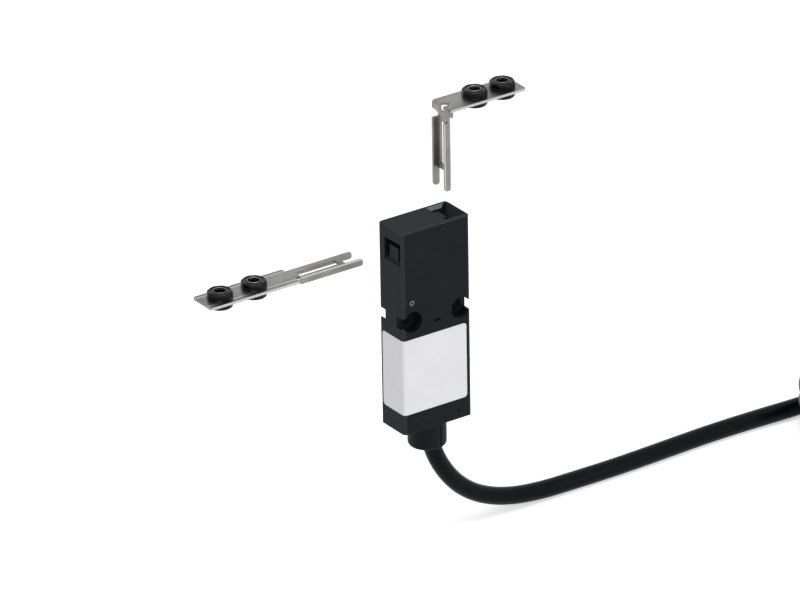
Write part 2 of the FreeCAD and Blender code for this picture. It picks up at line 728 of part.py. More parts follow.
def core_points(index, reach):
    """Start, end and heading of one core beyond the sheath's end, fanned out."""
    end = Vector(*tail_route[-1])
    way = (end - Vector(*tail_route[-2])).normalize()
    way.z = 0
    way.normalize()
    across = Vector(-way.y, way.x, 0)
    spread = (index - (core_count - 1) / 2)
    start = end + across * spread * 1.55
    heading = (way + across * spread * 0.12).normalize()
    return start + heading * 0.3, start + heading * reach, heading


def make_cores():
    cores = []
    for i in range(core_count):
        start, end, heading = core_points(i, core_length)
        cores.append(Part.makeCylinder(core_radius, (end - start).Length, start, heading))
    return group(cores)


def make_strands():
    strands = []
    for i in range(core_count):
        end, heading = core_points(i, core_length)[1:]
        strands.append(Part.makeCylinder(strand_radius, strip_length, end, heading))
    return group(strands)


# ---- tongues -------------------------------------------------------------------------------------

def fork_and_plate(plate_length, neck_length, neck_side, hole_pitch_here, hole_end):
    """Straight blank: fork towards +X with its tips at x 0, web on top at z 0, plate towards -X.

    neck_side is +1 where the neck runs on from the back flange, and -1 from the front flange.
    """
    web = box(-fork_length, -web_setback, -fork_half, fork_half, -sheet, 0)
    slot = box(-fork_length + web_lip, -web_setback - web_bridge, -fork_half + sheet + web_lip,
               fork_half - sheet - web_strip, -sheet - 1, 1)
    web = web.cut(slot)
    solid = web
    for y0 in (-fork_half, fork_half - sheet):
        flange = box(-fork_length, 0, y0, y0 + sheet, -fork_height, 0)
        tips = [e for e in flange.Edges
                if abs(e.tangentAt(e.FirstParameter).y) > 0.99 and e.CenterOfMass.x > -0.01]
        solid = solid.fuse(flange.makeFillet(0.9, tips))
    y_edge = neck_side * fork_half
    y0, y1 = sorted((y_edge, y_edge - neck_side * neck_width))
    neck = box(-fork_length - neck_length - 1, -fork_length + web_lip, y0, y1, -sheet, 0)
    start = -fork_length - neck_length
    plate = box(start - plate_length, start, -plate_width / 2, plate_width / 2, -sheet, 0)
    corners = [e for e in plate.Edges if abs(e.tangentAt(e.FirstParameter).z) > 0.99]
    plate = plate.makeFillet(1.0, corners)
    solid = solid.fuse(neck).fuse(plate)
    for i in range(2):
        x = start - plate_length + hole_end + i * hole_pitch_here
        solid = solid.cut(rod(x, 0, -sheet - 1, grommet_neck_radius + 0.02, sheet + 2))
    return solid.removeSplitter()


def straight_holes():
    """X of both grommets of the straight tongue."""
    tip = -half_width - straight_lead
    far = tip - fork_length - neck_gap - straight_plate
    return [far + straight_hole_end + i * straight_hole_pitch for i in range(2)]


def angled_holes():
    """X of both grommets of the angled tongue."""
    far = top_web_x - sheet + angled_plate
    return [far - angled_hole_end - i * angled_hole_pitch for i in range(2)]


def make_tongue_straight():
    tongue = fork_and_plate(straight_plate, neck_gap, 1, straight_hole_pitch, straight_hole_end)
    tongue.translate(Vector(-half_width - straight_lead, fork_offset_y, side_web_z))
    return tongue


def make_tongue_angled():
    """Fork down, neck up to a bend, plate to the right."""
    web_x = top_web_x
    z_tip = head_top + angled_lead
    z_fork = z_tip + fork_length
    z_plate = z_fork + angled_rise
    y_mid = fork_offset_y
    web = box(web_x - sheet, web_x, y_mid - fork_half, y_mid + fork_half, z_tip + web_setback, z_fork)
    slot = box(web_x - sheet - 1, web_x + 1, y_mid - fork_half + sheet + web_lip,
               y_mid + fork_half - sheet - web_strip, z_tip + web_setback + web_bridge, z_fork - web_lip)
    solid = web.cut(slot)
    for y0 in (y_mid - fork_half, y_mid + fork_half - sheet):
        flange = box(web_x - fork_height, web_x, y0, y0 + sheet, z_tip, z_fork)
        tips = [e for e in flange.Edges
                if abs(e.tangentAt(e.FirstParameter).y) > 0.99 and e.CenterOfMass.z < z_tip + 0.01]
        solid = solid.fuse(flange.makeFillet(0.9, tips))
    neck_y0 = y_mid - fork_half
    shoulder = z_plate - 3.0
    neck = prism_x([(neck_y0, z_fork - web_lip), (neck_y0 + neck_width, z_fork - web_lip),
                    (neck_y0 + neck_width, shoulder - 1.0), (neck_y0 + neck_width + 1.0, shoulder - 0.3),
                    (y_mid + plate_width / 2, shoulder), (y_mid + plate_width / 2, z_plate - 1.2),
                    (y_mid - plate_width / 2, z_plate - 1.2), (y_mid - plate_width / 2, shoulder),
                    (neck_y0, shoulder)], web_x - sheet, web_x)
    # The bend: a quarter ring between the upright neck and the plate
    r_out, r_in = sheet + 0.2, 0.2
    cx, cz = web_x + r_in, z_plate - r_out
    y0, y1 = y_mid - plate_width / 2, y_mid + plate_width / 2
    bend = rod(cx, y0, cz, r_out, y1 - y0, "Y").cut(rod(cx, y0 - 1, cz, r_in, y1 - y0 + 2, "Y"))
    bend = bend.common(box(web_x - sheet - 1, cx, y0, y1, cz, z_plate + 1))
    plate = box(cx, web_x - sheet + angled_plate, y0, y1, z_plate - sheet, z_plate)
    corners = [e for e in plate.Edges
               if abs(e.tangentAt(e.FirstParameter).z) > 0.99 and e.CenterOfMass.x > cx + 1]
    plate = plate.makeFillet(1.0, corners)
    solid = solid.fuse(neck).fuse(bend).fuse(plate)
    # Relief hole across the bend, and the round holes of the grommets
    relief = rod(cx + 0.4, y_mid, z_plate - sheet - 1.5, relief_radius, 4)
    relief = relief.fuse(rod(web_x - sheet - 1, y_mid, cz - 0.4, relief_radius * 0.8, 3, "X"))
    solid = solid.cut(relief)
    for x in angled_holes():
        solid = solid.cut(rod(x, y_mid, z_plate - sheet - 1, grommet_neck_radius + 0.02, sheet + 2))
    return solid.removeSplitter()


def make_grommet(x, y, z_top):
    """Rubber grommet: octagonal cap, neck in the plate's hole and a flat foot below."""
    corners = []
    for i in range(9):
        angle = math.radians(22.5 + 45 * i)
        reach_x, reach_y = grommet_radius * math.cos(angle), grommet_radius * math.sin(angle)
        corners.append(Vector(x + reach_x, y + reach_y, z_top))
    cap = Part.Face(Part.makePolygon(corners)).extrude(Vector(0, 0, grommet_top))
    round_cap = rod(x, y, z_top, grommet_radius * 0.985, grommet_top)
    rim = [e for e in round_cap.Edges if e.CenterOfMass.z > z_top + grommet_top - 0.01]
    cap = cap.common(round_cap.makeFillet(0.7, rim))
    neck = rod(x, y, z_top - sheet, grommet_neck_radius, sheet)
    foot = rod(x, y, z_top - sheet - grommet_foot, grommet_foot_radius, grommet_foot)
    edge = [e for e in foot.Edges if e.CenterOfMass.z < z_top - sheet - grommet_foot + 0.01]
    foot = foot.makeFillet(0.6, edge)
    solid = cap.fuse(neck).fuse(foot)
    low = z_top - sheet - grommet_foot
    solid = solid.cut(rod(x, y, low - 1, bush_radius + 0.01, grommet_top + sheet + grommet_foot + 2))
    return solid.removeSplitter()


def make_bush(x, y, z_top):
    """Steel bush that lets the screw be tightened without crushing the rubber."""
    low = z_top - sheet - grommet_foot - bush_proud
    length = sheet + grommet_foot + grommet_top + 2 * bush_proud
    return rod(x, y, low, bush_radius, length).cut(rod(x, y, low - 1, bush_bore, length + 2))


# ---- places that several pieces share --------------------------------------------------------------

cavity_bottom = case_bottom + body_wall
cavity_top = -pocket_radius - 2.0
cover_half = half_width - cover_margin + 0.6
cover_low = cavity_bottom - 0.7
cover_high = cavity_top + 0.7
bush_seat_radius = plunger_radius + bush_wall
seal_room = seal_height + 0.4
head_cavity_half = half_width - 5.0
head_cover_half = half_width - head_cover_wall
head_cover_low = spigot_top + seal_room - 1.2
head_cover_high = head_top - head_roof + 1.2
ramp_top_x = min(top_web_x + funnel_reach, half_width - 0.6)
window_high = head_top - window_drop
window_low = window_high - window_height
cam_front = fork_offset_y - cam_thickness / 2
cam_back = fork_offset_y + cam_thickness / 2
rail_x = cavity_half - rail_thick
return_pocket = 3.0
spring_seat = carrier_top - carrier_height - 2.2


def build_parts():
    """Every node's name and shape."""
    parts = {
        "body_case": make_body_case(), "body_cover": make_body_cover(), "label": make_label(),
        "head_case": make_head_case(), "head_cover": make_head_cover(),
        "head_pin": make_head_pin(), "cam": make_cam(), "cam_pin": make_cam_pin(),
        "cam_spring": make_cam_spring(), "plunger": make_plunger(), "plunger_bush": make_plunger_bush(),
        "plunger_seal": make_plunger_seal(), "contact_carrier": make_carrier(),
        "bridge_tips": make_bridge_tips(), "bridge_springs": make_bridge_springs(),
        "contact_block": make_contact_block(), "fixed_tips": make_fixed_tips(),
        "return_spring": make_return_spring(), "inner_wires": make_wires(),
        "cable_bush": make_cable_bush(), "cable": tube_along(cable_route, cable_radius, "cable"),
        "cable_coil": make_cable_coil(), "coil_tie": make_coil_tie(),
        "cable_tail": tube_along(tail_route, cable_radius, "tail"),
        "cable_cores": make_cores(), "core_strands": make_strands(),
        "tongue_straight": make_tongue_straight(), "tongue_angled": make_tongue_angled(),
    }
    parts["safety_bridge"], parts["signal_bridge"] = make_bridges()
    for pair, name in (("upper", "safety"), ("lower", "signal")):
        parts[name + "_blades"] = group([make_blade(side, pair) for side in (-1, 1)])
    straight = [(x, fork_offset_y, side_web_z) for x in straight_holes()]
    plate_top = head_top + angled_lead + fork_length + angled_rise
    angled = [(x, fork_offset_y, plate_top) for x in angled_holes()]
    for name, places in (("straight", straight), ("angled", angled)):
        parts[name + "_grommets"] = group([make_grommet(*place) for place in places])
        parts[name + "_bushes"] = group([make_bush(*place) for place in places])
    return parts


os.makedirs("parts", exist_ok=True)
for node, shape in build_parts().items():
    shape.exportStep(f"parts/{node}.step")
    print(f"{node}: {len(shape.Solids)} solid(s), {shape.Volume:.1f} mm3, valid {shape.isValid()}")
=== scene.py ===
"""Looks of a tongue interlock switch with its two loose tongues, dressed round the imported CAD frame.

Everything is in metres, in the frame of the CAD model: +X across the broad face of the switch,
-Y out of the face with the label, +Z up towards the head.
"""
import math

import bmesh
import bpy
import numpy as np
from mathutils import Matrix, Vector


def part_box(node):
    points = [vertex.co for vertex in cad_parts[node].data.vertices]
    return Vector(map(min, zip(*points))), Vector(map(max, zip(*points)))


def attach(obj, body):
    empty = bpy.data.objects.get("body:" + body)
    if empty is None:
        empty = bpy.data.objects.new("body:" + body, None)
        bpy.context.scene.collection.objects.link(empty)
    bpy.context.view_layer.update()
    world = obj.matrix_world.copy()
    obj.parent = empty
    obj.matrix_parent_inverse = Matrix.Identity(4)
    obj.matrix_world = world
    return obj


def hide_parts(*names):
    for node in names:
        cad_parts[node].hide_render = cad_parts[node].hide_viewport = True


MM = 0.001
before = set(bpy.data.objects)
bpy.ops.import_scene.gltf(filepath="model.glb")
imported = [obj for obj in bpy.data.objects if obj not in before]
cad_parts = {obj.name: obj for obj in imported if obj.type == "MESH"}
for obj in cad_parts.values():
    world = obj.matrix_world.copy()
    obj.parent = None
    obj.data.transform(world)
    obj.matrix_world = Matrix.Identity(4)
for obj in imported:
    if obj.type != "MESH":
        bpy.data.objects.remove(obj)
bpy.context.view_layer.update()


# ---- Bench and light ------------------------------------------------------------------------------
# The switch is shown over a plain white bench top that the cable lies on. The bench is a wide
# painted board without joints, and broad soft boxes stand above it, in front and to its left.

bench_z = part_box("cable")[0].z
bench_size = 8.0
bench_white = (0.82, 0.82, 0.82, 1.0)
bench_glow = 0.42                 # what the camera sees on top of the board's own light
sky_light, sky_seen = 0.38, 1.0   # strength of the room's light on the object, and as it is seen
lamps = {                         # place from the middle of the head, size and power of each soft box
    "overhead": ((-0.1, -0.2, 1.3), 0.9, 11.0),
    "front_fill": ((0.35, -1.5, 0.55), 0.9, 11.0),
    "side_fill": ((-1.5, -0.35, 0.5), 0.8, 3.6),
}


def node_tree(material):
    """The empty node tree of a new material."""
    material.use_nodes = True
    material.node_tree.nodes.clear()
    return material.node_tree


def add_node(tree, kind, **inputs):
    """A node of the tree with values on its named sockets."""
    node = tree.nodes.new(kind)
    for name, value in inputs.items():
        node.inputs[name.replace("_", " ")].default_value = value
    return node


def seen_rays(tree):
    """1 for camera, glossy and clear rays, 0 for the light that falls on the object."""
    rays = tree.nodes.new("ShaderNodeLightPath")
    share = rays.outputs["Is Camera Ray"]
    for kind in ("Is Glossy Ray", "Is Transmission Ray"):
        most = add_node(tree, "ShaderNodeMath")
        most.operation = "MAXIMUM"
        tree.links.new(share, most.inputs[0])
        tree.links.new(rays.outputs[kind], most.inputs[1])
        share = most.outputs[0]
    return share


def board_paint():
    """Matt white paint with a faint unevenness, which also glows for camera, glossy and clear rays."""
    material = bpy.data.materials.new("board_paint")
    tree = node_tree(material)
    coords = tree.nodes.new("ShaderNodeTexCoord")
    noise = add_node(tree, "ShaderNodeTexNoise", Scale=30.0, Detail=3.0)
    ramp = tree.nodes.new("ShaderNodeValToRGB")
    ramp.color_ramp.elements[0].color = (0.80, 0.80, 0.80, 1.0)
    ramp.color_ramp.elements[1].color = bench_white
    paint = add_node(tree, "ShaderNodeBsdfDiffuse", Roughness=0.5)
    glow = add_node(tree, "ShaderNodeEmission", Color=(1.0, 1.0, 1.0, 1.0))
    level = add_node(tree, "ShaderNodeMath")
    level.operation = "MULTIPLY"
    level.inputs[1].default_value = bench_glow
    both = tree.nodes.new("ShaderNodeAddShader")
    out = tree.nodes.new("ShaderNodeOutputMaterial")
    tree.links.new(coords.outputs["Object"], noise.inputs["Vector"])
    tree.links.new(noise.outputs["Fac"], ramp.inputs["Fac"])
    tree.links.new(ramp.outputs["Color"], paint.inputs["Color"])
    tree.links.new(seen_rays(tree), level.inputs[0])
    tree.links.new(level.outputs[0], glow.inputs["Strength"])
    tree.links.new(paint.outputs[0], both.inputs[0])
    tree.links.new(glow.outputs[0], both.inputs[1])
    tree.links.new(both.outputs[0], out.inputs["Surface"])
    return material


def grid_piece(name, points, close_u=False, close_v=False, smooth=True):
    """Mesh of a grid of points, shape (rows, columns, 3): each cell between neighbours is one face.

    close_u joins the last row to the first, close_v the last column to the first.
    """
    points = np.asarray(points, float)
    rows, columns = points.shape[:2]
    u = np.arange(rows if close_u else rows - 1)[:, None]
    v = np.arange(columns if close_v else columns - 1)[None, :]
    next_u, next_v = (u + 1) % rows, (v + 1) % columns
    faces = np.stack([u * columns + v, u * columns + next_v, next_u * columns + next_v,
                      next_u * columns + v], -1).reshape(-1, 4)
    mesh = bpy.data.meshes.new(name)
    mesh.from_pydata(points.reshape(-1, 3).tolist(), [], faces.tolist())
    mesh.polygons.foreach_set("use_smooth", np.full(len(faces), smooth))
    mesh.update()
    piece = bpy.data.objects.new(name, mesh)
    bpy.context.scene.collection.objects.link(piece)
    return piece


span = np.linspace(-bench_size / 2, bench_size / 2, 5)
bench_x, bench_y = np.meshgrid(span, span, indexing="ij")
bench = grid_piece("bench", np.stack([bench_x, bench_y, np.full_like(bench_x, bench_z)], -1), smooth=False)
bench.data.materials.append(board_paint())

world = bpy.data.worlds.new("white_room")
bpy.context.scene.world = world
world.use_nodes = True
world.node_tree.nodes.clear()
sky = add_node(world.node_tree, "ShaderNodeBackground", Color=(1.0, 1.0, 1.0, 1.0))
sky_level = add_node(world.node_tree, "ShaderNodeMapRange")
sky_level.inputs["To Min"].default_value = sky_light
sky_level.inputs["To Max"].default_value = sky_seen
sky_out = world.node_tree.nodes.new("ShaderNodeOutputWorld")
world.node_tree.links.new(seen_rays(world.node_tree), sky_level.inputs["Value"])
world.node_tree.links.new(sky_level.outputs["Result"], sky.inputs["Strength"])
world.node_tree.links.new(sky.outputs[0], sky_out.inputs["Surface"])


def soft_box(name, place, size, power, target):
    """Square area lamp at a place, aimed at a target."""
    lamp = bpy.data.lights.new(name, "AREA")
    lamp.shape = "SQUARE"
    lamp.size = size
    lamp.energy = power
    holder = bpy.data.objects.new(name, lamp)
    holder.location = place
    holder.rotation_euler = (Vector(target) - Vector(place)).to_track_quat("-Z", "Y").to_euler()
    bpy.context.scene.collection.objects.link(holder)


head_low, head_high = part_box("head_case")
head_middle = (head_low + head_high) / 2
for name, (place, size, power) in lamps.items():
    soft_box(name, head_middle + Vector(place), size, power, head_middle)


# ---- Camera ---------------------------------------------------------------------------------------
# A very long lens stands to the front left of the switch and above it, so that edges stay nearly
# parallel. The middle of the view lies a little left of the case and above its middle height.

azimuth, elevation, roll = (math.radians(angle) for angle in (-34.33, 25.70, -0.98))
distance = 2.93123
aim_drop = 0.02368                # middle of the whole case below the middle of the head
view_shift = (-0.00914, 0.00689)

back = Vector((math.sin(azimuth) * math.cos(elevation), -math.cos(azimuth) * math.cos(elevation),
               math.sin(elevation)))
level_right = Vector((math.cos(azimuth), math.sin(azimuth), 0.0))
level_up = back.cross(level_right)
right = level_right * math.cos(roll) + level_up * math.sin(roll)
up = level_up * math.cos(roll) - level_right * math.sin(roll)
aim = head_middle - Vector((0.0, 0.0, aim_drop))
lens = bpy.data.cameras.new("long_lens")
lens.sensor_width = 36.0
lens.lens = 364.3
lens.clip_start = 0.2
lens.clip_end = 30.0
camera = bpy.data.objects.new("camera", lens)
eye = aim + back * distance + right * view_shift[0] + up * view_shift[1]
camera.matrix_world = Matrix.Translation(eye) @ Matrix((right, up, back)).transposed().to_4x4()
bpy.context.scene.collection.objects.link(camera)
bpy.context.scene.camera = camera
bpy.context.scene.view_settings.view_transform = "Standard"


# ---- Cable ----------------------------------------------------------------------------------------
# Round four-core cable in a smooth satin sheath, moulded into the foot of the switch. It bends down
# on to the bench and runs off along it. Its spare length is folded into a tied hank of two turns,
# one above the other, and its end lies on the near run of the hank.

cable_radius = 3.4 * MM
route = [(0.0, -7.5, -44.0), (0.9, -7.5, -53.0), (3.9, -7.5, -61.9), (8.9, -7.5, -70.4),
         (15.5, -7.5, -77.6), (24.2, -7.5, -83.4), (35.8, -7.5, -87.6), (50.0, -7.5, -89.6),
         (66.0, -7.6, -89.9), (86.0, -8.0, -89.9), (108.0, -7.3, -89.9), (130.0, -6.5, -89.9),
         (152.0, -7.1, -89.9), (172.0, -8.2, -89.9), (192.0, -8.0, -89.9)]
# one turn of the hank: place on the bench, and how far it has climbed to the next layer
hank_turn = [(216.0, -8.0, 0.0), (249.0, -8.0, 0.0), (280.0, -8.0, 0.0), (292.0, -11.2, 0.0),
             (300.8, -20.0, 0.0), (304.0, -32.0, 0.0), (300.8, -44.0, 0.0), (292.0, -52.8, 0.0),
             (280.0, -56.0, 0.0), (249.0, -56.0, 0.0), (216.0, -56.0, 0.0), (185.0, -56.0, 0.12),
             (173.0, -52.8, 0.3), (164.2, -44.0, 0.52), (161.0, -32.0, 0.76), (164.2, -20.0, 0.94),
             (173.0, -11.2, 1.0), (188.0, -8.1, 1.0)]
hank_low, hank_layer = -89.3, 6.95
tail = [(216.0, -7.9, -75.6), (244.0, -8.2, -75.6), (268.0, -8.0, -75.6)]


def hank_points(turns):
    """The turns of the hank, each a layer above the one before."""
    turn = np.array(hank_turn)
    layers = [np.column_stack([turn[:, :2], hank_low + hank_layer * (turn[:, 2] + layer)])
              for layer in range(turns)]
    return np.vstack(layers)


def sheath_material():
    """Black flexible plastic: fine grain, soft blotches and a satin gloss."""
    material = bpy.data.materials.new("cable_sheath_look")
    tree = node_tree(material)
    coords = tree.nodes.new("ShaderNodeTexCoord")
    shader = add_node(tree, "ShaderNodeBsdfPrincipled", Roughness=0.3)
    shader.inputs["Specular IOR Level"].default_value = 0.07
    blotch = add_node(tree, "ShaderNodeTexNoise", Scale=120.0, Detail=4.0)
    colour = tree.nodes.new("ShaderNodeValToRGB")
    colour.color_ramp.elements[0].color = (0.002, 0.0024, 0.003, 1.0)
    colour.color_ramp.elements[1].color = (0.004, 0.0046, 0.0056, 1.0)
    rough = add_node(tree, "ShaderNodeMapRange", To_Min=0.2, To_Max=0.3)
    grain = add_node(tree, "ShaderNodeTexNoise", Scale=1800.0, Detail=3.0)
    bump = add_node(tree, "ShaderNodeBump", Strength=0.12, Distance=0.0001)
    out = tree.nodes.new("ShaderNodeOutputMaterial")
    tree.links.new(coords.outputs["Object"], blotch.inputs["Vector"])
    tree.links.new(coords.outputs["Object"], grain.inputs["Vector"])
    tree.links.new(blotch.outputs["Fac"], colour.inputs["Fac"])
    tree.links.new(blotch.outputs["Fac"], rough.inputs["Value"])
    tree.links.new(colour.outputs["Color"], shader.inputs["Base Color"])
    tree.links.new(rough.outputs["Result"], shader.inputs["Roughness"])
    tree.links.new(grain.outputs["Fac"], bump.inputs["Height"])
    tree.links.new(bump.outputs["Normal"], shader.inputs["Normal"])
    tree.links.new(shader.outputs[0], out.inputs["Surface"])
    return material


def cord_curve(name, points, radius):
    """Round cord whose centre line is one smooth spline steered by the points."""
    curve = bpy.data.curves.new(name, "CURVE")
    curve.dimensions = "3D"
    curve.bevel_depth = radius
    curve.bevel_resolution = 8
    curve.resolution_u = 8
    curve.use_fill_caps = True
    spline = curve.splines.new("NURBS")
    spline.points.add(len(points) - 1)
    flat = np.column_stack([np.asarray(points, float), np.ones(len(points))])
    spline.points.foreach_set("co", flat.ravel())
    spline.order_u = 3
    spline.use_endpoint_u = True
    piece = bpy.data.objects.new(name, curve)
    bpy.context.scene.collection.objects.link(piece)
    return piece


cable_points = np.vstack([route, hank_points(2), tail]) * MM
cable = cord_curve("cable_sheath", cable_points, cable_radius)
cable.data.materials.append(sheath_material())
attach(cable, "switch")
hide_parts("cable", "cable_coil", "cable_tail")


# ---- Case -----------------------------------------------------------------------------------------
# Two glass-filled mouldings in black, the head and the body, with plates that close their backs.
# Their faces are finely spark-eroded and nearly matt, and the outer edges are a little rounded.

def merged_copy(name, node, width, segments=2, angle=32.0):
    """Copy of a CAD node with its doubles merged and its sharp edges rounded by a small width."""
    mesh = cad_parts[node].data.copy()
    mesh.name = name
    shell = bmesh.new()
    shell.from_mesh(mesh)
    bmesh.ops.remove_doubles(shell, verts=shell.verts, dist=2e-6)
    bmesh.ops.dissolve_limit(shell, angle_limit=math.radians(0.6), verts=shell.verts, edges=shell.edges)
    for face in shell.faces:
        face.smooth = True
    shell.to_mesh(mesh)
    shell.free()
    mesh.materials.clear()
    piece = bpy.data.objects.new(name, mesh)
    bpy.context.scene.collection.objects.link(piece)
    edges = piece.modifiers.new("rounded_edges", "BEVEL")
    edges.width = width
    edges.segments = segments
    edges.limit_method = "ANGLE"
    edges.angle_limit = math.radians(angle)
    edges.harden_normals = True
    edges.use_clamp_overlap = True
    flats = piece.modifiers.new("flat_faces", "WEIGHTED_NORMAL")
    flats.weight = 100
    return piece


def near_edge(tree, coords, point, along, inner, outer):
    """Share from 1 at an edge to 0 away from it: distance to a line through a point along one axis."""
    offset = tree.nodes.new("ShaderNodeVectorMath")
    offset.operation = "SUBTRACT"
    offset.inputs[1].default_value = point
    across = tree.nodes.new("ShaderNodeVectorMath")
    across.operation = "MULTIPLY"
    across.inputs[1].default_value = [0.0 if axis == along else 1.0 for axis in "XYZ"]
    distance = tree.nodes.new("ShaderNodeVectorMath")
    distance.operation = "LENGTH"
    share = add_node(tree, "ShaderNodeMapRange", From_Min=inner, From_Max=outer, To_Min=1.0, To_Max=0.0)
    share.interpolation_type = "SMOOTHSTEP"
    tree.links.new(coords.outputs["Object"], offset.inputs[0])
    tree.links.new(offset.outputs["Vector"], across.inputs[0])
    tree.links.new(across.outputs["Vector"], distance.inputs[0])
    tree.links.new(distance.outputs["Value"], share.inputs["Value"])
    return share.outputs["Result"]


def paint_edge_highlights(tree, coords, shade, highlit_edges, highlight_shade):
    """Colour socket with painted highlights mixed in along the listed edges, one after another."""
    for point, along, inner, outer in highlit_edges:
        highlight_mix = tree.nodes.new("ShaderNodeMix")
        highlight_mix.data_type = "RGBA"
        highlight_mix.inputs["B"].default_value = (*highlight_shade, 1.0)
        tree.links.new(near_edge(tree, coords, point, along, inner, outer), highlight_mix.inputs["Factor"])
        tree.links.new(shade, highlight_mix.inputs["A"])
        shade = highlight_mix.outputs["Result"]
    return shade


def moulded_plastic(name, dark, light, rough, grain_size=0.16 * MM, relief=0.10, gloss=0.3, highlit_edges=(),
                    highlight_shade=None):
    """Moulded plastic: eroded grain, a little colour and gloss variation over centimetres.

    The listed edges get painted highlights, lighter than the faces: a point, the axis along it, and two
    distances.
    """
    material = bpy.data.materials.new(name)
    tree = node_tree(material)
    coords = tree.nodes.new("ShaderNodeTexCoord")
    shader = tree.nodes.new("ShaderNodeBsdfPrincipled")
    shader.inputs["Specular IOR Level"].default_value = gloss
    cloud = add_node(tree, "ShaderNodeTexNoise", Scale=70.0, Detail=5.0, Roughness=0.6)
    colour = tree.nodes.new("ShaderNodeValToRGB")
    colour.color_ramp.elements[0].position = 0.3
    colour.color_ramp.elements[1].position = 0.7
    colour.color_ramp.elements[0].color = (*dark, 1.0)
    colour.color_ramp.elements[1].color = (*light, 1.0)
    roughness = add_node(tree, "ShaderNodeMapRange", To_Min=rough - 0.05, To_Max=rough + 0.05)
    grain = add_node(tree, "ShaderNodeTexNoise", Scale=1.0 / grain_size, Detail=2.0)
    bump = add_node(tree, "ShaderNodeBump", Strength=relief, Distance=0.00005)
    out = tree.nodes.new("ShaderNodeOutputMaterial")
    tree.links.new(coords.outputs["Object"], cloud.inputs["Vector"])
    tree.links.new(coords.outputs["Object"], grain.inputs["Vector"])
    tree.links.new(cloud.outputs["Fac"], colour.inputs["Fac"])
    tree.links.new(cloud.outputs["Fac"], roughness.inputs["Value"])
    tone = paint_edge_highlights(tree, coords, colour.outputs["Color"], highlit_edges, highlight_shade)
    tree.links.new(tone, shader.inputs["Base Color"])
    tree.links.new(roughness.outputs["Result"], shader.inputs["Roughness"])
    tree.links.new(grain.outputs["Fac"], bump.inputs["Height"])
    tree.links.new(bump.outputs["Normal"], shader.inputs["Normal"])
    tree.links.new(shader.outputs[0], out.inputs["Surface"])
    return material


def dress(node, material):
    """Gives a CAD node its material."""
    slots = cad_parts[node].data.materials
    slots.clear()
    slots.append(material)


left, right_side, front = head_low.x, head_high.x, head_low.y
body_foot = -44.5 * MM
# Painted highlights: bands along the front, top and foot edges of the case are painted lighter, as if their
# rounding caught the light.
case_edge_highlights = [((0.0, front, head_high.z), "X", 0.35 * MM, 0.75 * MM),
              ((left, 0.0, head_high.z), "Y", 0.25 * MM, 0.6 * MM),
              ((left, front, 0.0), "Z", 0.7 * MM, 1.7 * MM),
              ((right_side, front, 0.0), "Z", 0.7 * MM, 1.5 * MM),
              ((0.0, front, body_foot), "X", 0.0, 0.3 * MM),
              ((left, 0.0, body_foot), "Y", 0.0, 0.3 * MM)]
case_look = moulded_plastic("case_black_look", (0.0036, 0.0052, 0.0078), (0.0056, 0.0074, 0.0104), 0.52,
                            gloss=0.1, highlit_edges=case_edge_highlights, highlight_shade=(0.024, 0.027, 0.032))
case_edge = 0.14 * MM
for node in ("head_case", "body_case"):
    part = merged_copy(node.replace("_case", "_moulding"), node, case_edge)
    part.data.materials.append(case_look)
    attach(part, "switch")
    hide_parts(node)
dress("head_cover", case_look)
dress("body_cover", case_look)


# ---- Highlight strip ------------------------------------------------------------------------------
# Thin strip of bright sheet let into the roof of the head behind the top entry, as a painted highlight:
# it stands in for the band of light on the roof there. Its right end is cut off along the flare of the entry.

def flat_plate(name, outline, low, high):
    """Plate of a convex outline between two heights: the outline drawn in by a small chamfer on top."""
    outline = np.asarray(outline, float)
    middle = outline.mean(0)
    drawn_in = middle + (outline - middle) * 0.985
    closed = middle + (outline - middle) * 1e-4
    levels = [(closed, low), (outline, low), (outline, high - 0.3 * (high - low)), (drawn_in, high),
              (closed, high)]
    points = [np.column_stack([ring, np.full(len(ring), height)]) for ring, height in levels]
    return grid_piece(name, points, close_v=True, smooth=False)


roof = head_high.z
strip_sunk, strip_proud = 0.05 * MM, 0.07 * MM
strip_outline = np.array([(5.1, -1.35), (5.1, -4.6), (9.75, -4.6), (12.95, -1.35)]) * MM
strip = flat_plate("entry_highlight_strip", strip_outline, roof - strip_sunk, roof + strip_proud)


# ---- Label ----------------------------------------------------------------------------------------
# Thin white polyester film in a shallow recess, folded round the front left edge. It is left bare,
# with only the faint sheen and fine coating of such a film.

def film_material():
    """White coated film: very fine grain and a faint unevenness of the coating."""
    material = bpy.data.materials.new("label_film_look")
    tree = node_tree(material)
    coords = tree.nodes.new("ShaderNodeTexCoord")
    shader = add_node(tree, "ShaderNodeBsdfPrincipled")
    shader.inputs["Specular IOR Level"].default_value = 0.35
    coat = add_node(tree, "ShaderNodeTexNoise", Scale=90.0, Detail=4.0)
    colour = tree.nodes.new("ShaderNodeValToRGB")
    colour.color_ramp.elements[0].color = (0.70, 0.70, 0.73, 1.0)
    colour.color_ramp.elements[1].color = (0.77, 0.77, 0.79, 1.0)
    rough = add_node(tree, "ShaderNodeMapRange", To_Min=0.32, To_Max=0.44)
    grain = add_node(tree, "ShaderNodeTexNoise", Scale=5000.0, Detail=2.0)
    bump = add_node(tree, "ShaderNodeBump", Strength=0.05, Distance=0.00003)
    out = tree.nodes.new("ShaderNodeOutputMaterial")
    tree.links.new(coords.outputs["Object"], coat.inputs["Vector"])
    tree.links.new(coords.outputs["Object"], grain.inputs["Vector"])
    tree.links.new(coat.outputs["Fac"], colour.inputs["Fac"])
    tree.links.new(coat.outputs["Fac"], rough.inputs["Value"])
    tree.links.new(colour.outputs["Color"], shader.inputs["Base Color"])
    tree.links.new(rough.outputs["Result"], shader.inputs["Roughness"])
    tree.links.new(grain.outputs["Fac"], bump.inputs["Height"])
    tree.links.new(bump.outputs["Normal"], shader.inputs["Normal"])
    tree.links.new(shader.outputs[0], out.inputs["Surface"])
    return material


dress("label", film_material())


